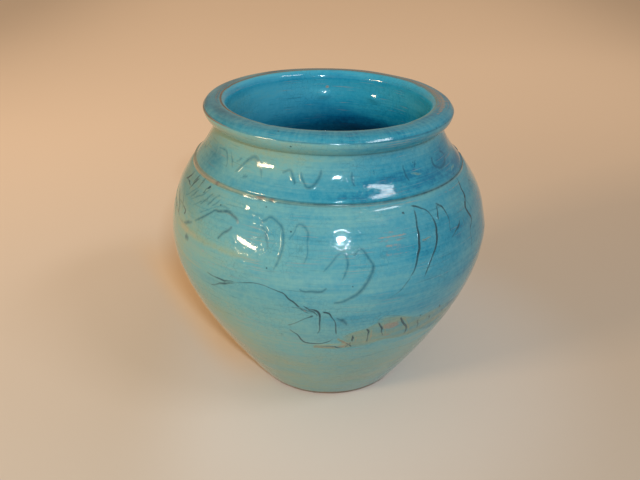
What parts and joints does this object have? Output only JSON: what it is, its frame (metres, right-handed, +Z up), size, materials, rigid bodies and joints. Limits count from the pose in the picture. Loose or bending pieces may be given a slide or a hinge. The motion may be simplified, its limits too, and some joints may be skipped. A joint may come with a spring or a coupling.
{
  "type": "ceramic vase",
  "caption": "Wide-mouthed hand-thrown vase with a rolled rim, a raised cordon on the shoulder and a narrow turned foot, glazed turquoise inside and out with dark freehand brush lines.",
  "frame": {"origin": "middle of the foot ring's resting face, on the table", "axes": "+Z up along the axis of the vase; the pictured side faces -Y"},
  "size_m": [0.2, 0.2, 0.186],
  "materials": {
    "clay": "bare fired clay, matt",
    "worn_clay": "bare fired clay, worn and handled",
    "slip": "fired luting slip",
    "turquoise_glaze": "glossy crazed turquoise glaze",
    "pooled_glaze": "glossy turquoise glaze, pooled thicker",
    "lining_glaze": "glossy turquoise glaze inside the vase"
  },
  "bodies": {
    "root": {"thrown_body": "clay", "shoulder_collar": "clay", "rolled_rim": "clay", "shoulder_cordon": "worn_clay", "foot_ring": "worn_clay", "foot_slip_seam": "slip", "shoulder_slip_seam": "slip", "rim_slip_seam": "slip", "body_glaze": "turquoise_glaze", "shoulder_glaze": "pooled_glaze", "rim_glaze": "pooled_glaze", "lining_glaze": "lining_glaze"}
  },
  "joints": []
}
